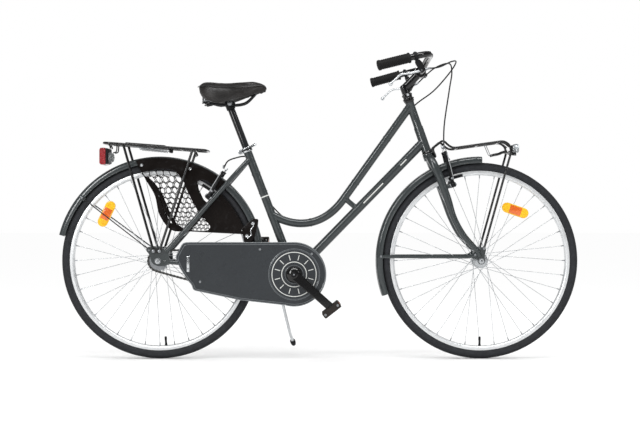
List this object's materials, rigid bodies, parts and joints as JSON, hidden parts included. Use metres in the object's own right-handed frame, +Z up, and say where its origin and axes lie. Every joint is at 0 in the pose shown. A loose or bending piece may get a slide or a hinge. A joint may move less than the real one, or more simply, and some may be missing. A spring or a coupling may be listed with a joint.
{
  "type": "dutch city bike",
  "caption": "Step-through city bicycle with a swan-neck frame, full chaincase, coat guards, mudguards, front and rear racks, side stand and swept handlebar.",
  "frame": {"origin": "below the middle of the bike's length, on the ground", "axes": "+X forward, +Y to the rider's left, +Z up"},
  "size_m": [1.8372, 0.6002, 1.0697],
  "materials": {
    "frame_paint": "satin dark grey enamel",
    "black_plastic": "moulded, fine texture",
    "black_metal": "black powder coat",
    "guard_paint": "satin dark grey enamel",
    "alloy": "brushed",
    "chrome": "polished",
    "steel": "zinc plated",
    "tyre": "black rubber with a tread",
    "grip_rubber": "black, ribbed",
    "saddle_skin": "black, fine grain",
    "amber": "prismatic lens",
    "red_lens": "prismatic lens",
    "cable_black": "sleeved cable"
  },
  "bodies": {
    "frame": {"head_tube": "frame_paint", "top_tube": "frame_paint", "down_tube": "frame_paint", "seat_tube": "frame_paint", "bottom_bracket_shell": "frame_paint", "bottom_bracket_unit": "steel", "seat_stays": "frame_paint", "chain_stays": "frame_paint", "rear_mudguard": "guard_paint", "rear_mudguard_stay": "guard_paint", "coat_guard_right": "black_plastic", "coat_guard_left": "black_plastic", "chaincase": "guard_paint", "chain": "steel", "rear_rack": "black_metal", "tail_lamp": "red_lens", "seat_clamp": "chrome", "rear_brake_cable": "cable_black", "rear_axle": "steel", "kickstand_bracket": "steel"},
    "seat": {"seatpost": "black_metal", "saddle_cover": "saddle_skin", "saddle_frame": "black_metal"},
    "seat_lever": {"seat_clamp_lever": "chrome"},
    "stand": {"kickstand": "steel"},
    "crank": {"crank_spindle": "steel", "crank_right": "black_metal", "crank_left": "black_metal"},
    "right_pedal": {"pedal_right": "black_plastic"},
    "left_pedal": {"pedal_left": "black_plastic"},
    "sprocket": {"freewheel": "steel"},
    "rear_wheel": {"rear_tyre": "tyre", "rear_rim": "alloy", "rear_hub": "alloy", "rear_reflector": "amber"},
    "steering": {"fork": "frame_paint", "headset_nut": "black_metal", "stem": "black_metal", "handlebar": "black_metal", "grip_right": "grip_rubber", "grip_left": "grip_rubber", "lever_bracket_right": "black_metal", "lever_bracket_left": "black_metal", "front_mudguard": "guard_paint", "front_mudguard_stay": "guard_paint", "front_rack": "black_metal", "head_lamp": "black_metal", "front_brake_cable": "cable_black", "front_axle": "steel"},
    "front_wheel": {"front_tyre": "tyre", "front_rim": "alloy", "front_hub": "alloy", "front_reflector": "amber"},
    "right_lever": {"brake_lever_right": "alloy"},
    "left_lever": {"brake_lever_left": "alloy"},
    "front_arm_right": {"front_brake_arm_right": "black_metal"},
    "front_arm_left": {"front_brake_arm_left": "black_metal"},
    "rear_arm_right": {"rear_brake_arm_right": "black_metal"},
    "rear_arm_left": {"rear_brake_arm_left": "black_metal"},
    "clip": {"rack_clip": "chrome"}
  },
  "joints": [
    {"name": "steering", "type": "hinge", "parent": "frame", "child": "steering", "pos_m": [0.52531, 0, 0.33081], "axis": [-0.3305, 0, 0.9438], "range_deg": [-60, 60], "deforming": ["rear_brake_cable"]},
    {"name": "front_wheel_spin", "type": "hinge", "parent": "steering", "child": "front_wheel", "pos_m": [0.57156, 0, 0.347], "axis": [0, 1, 0], "continuous": true},
    {"name": "rear_wheel_spin", "type": "hinge", "parent": "frame", "child": "rear_wheel", "pos_m": [-0.56244, 0, 0.347], "axis": [0, 1, 0], "continuous": true},
    {"name": "crank_spin", "type": "hinge", "parent": "frame", "child": "crank", "pos_m": [-0.08544, 0, 0.3], "axis": [0, 1, 0], "continuous": true},
    {"name": "sprocket_spin", "type": "hinge", "parent": "frame", "child": "sprocket", "pos_m": [-0.56244, 0, 0.347], "axis": [0, 1, 0], "continuous": true},
    {"name": "right_pedal_spin", "type": "hinge", "parent": "crank", "child": "right_pedal", "pos_m": [0.04522, 0, 0.18358], "axis": [0, 1, 0], "continuous": true},
    {"name": "left_pedal_spin", "type": "hinge", "parent": "crank", "child": "left_pedal", "pos_m": [-0.2161, 0, 0.41641], "axis": [0, 1, 0], "continuous": true},
    {"name": "seat_height", "type": "slide", "parent": "frame", "child": "seat", "axis": [-0.3584, 0, 0.9336], "range_m": [-0.08, 0.05]},
    {"name": "seat_lever_swing", "type": "hinge", "parent": "frame", "child": "seat_lever", "pos_m": [-0.27757, 0, 0.73076], "axis": [0, -1, 0], "range_deg": [0, 120]},
    {"name": "kickstand_swing", "type": "hinge", "parent": "frame", "child": "stand", "pos_m": [-0.14544, 0.04, 0.262], "axis": [0, 1, 0], "range_deg": [0, 100]},
    {"name": "right_lever_pull", "type": "hinge", "parent": "steering", "child": "right_lever", "pos_m": [0.34414, -0.26366, 0.99282], "axis": [-0.144, 0.9896, 0], "range_deg": [0, 18], "stiffness_Nm_per_rad": 2, "springref_deg": -8.59},
    {"name": "left_lever_pull", "type": "hinge", "parent": "steering", "child": "left_lever", "pos_m": [0.34414, 0.26366, 0.99282], "axis": [0.144, 0.9896, 0], "range_deg": [0, 18], "stiffness_Nm_per_rad": 2, "springref_deg": -8.59},
    {"name": "front_arm_right_swing", "type": "hinge", "parent": "steering", "child": "front_arm_right", "pos_m": [0.47359, -0.043, 0.61466], "axis": [-0.9438, 0, -0.3305], "range_deg": [0, 4]},
    {"name": "front_arm_left_swing", "type": "hinge", "parent": "steering", "child": "front_arm_left", "pos_m": [0.47359, 0.043, 0.61466], "axis": [0.9438, 0, 0.3305], "range_deg": [0, 4]},
    {"name": "rear_arm_right_swing", "type": "hinge", "parent": "frame", "child": "rear_arm_right", "pos_m": [-0.38776, -0.043, 0.57295], "axis": [-0.7499, 0, 0.6616], "range_deg": [0, 4]},
    {"name": "rear_arm_left_swing", "type": "hinge", "parent": "frame", "child": "rear_arm_left", "pos_m": [-0.38776, 0.043, 0.57295], "axis": [0.7499, 0, -0.6616], "range_deg": [0, 4]},
    {"name": "rack_clip_lift", "type": "hinge", "parent": "frame", "child": "clip", "pos_m": [-0.52312, 0, 0.73372], "axis": [0, 1, 0], "range_deg": [0, 80], "stiffness_Nm_per_rad": 0.4, "springref_deg": -22.92}
  ],
  "couplings": [
    {"joint": "sprocket_spin", "follows": "crank_spin", "ratio": 2.4444},
    {"joint": "front_arm_right_swing", "follows": "left_lever_pull", "ratio": 0.22222},
    {"joint": "rear_arm_right_swing", "follows": "right_lever_pull", "ratio": 0.22222},
    {"joint": "front_arm_left_swing", "follows": "left_lever_pull", "ratio": 0.22222},
    {"joint": "rear_arm_left_swing", "follows": "right_lever_pull", "ratio": 0.22222}
  ]
}
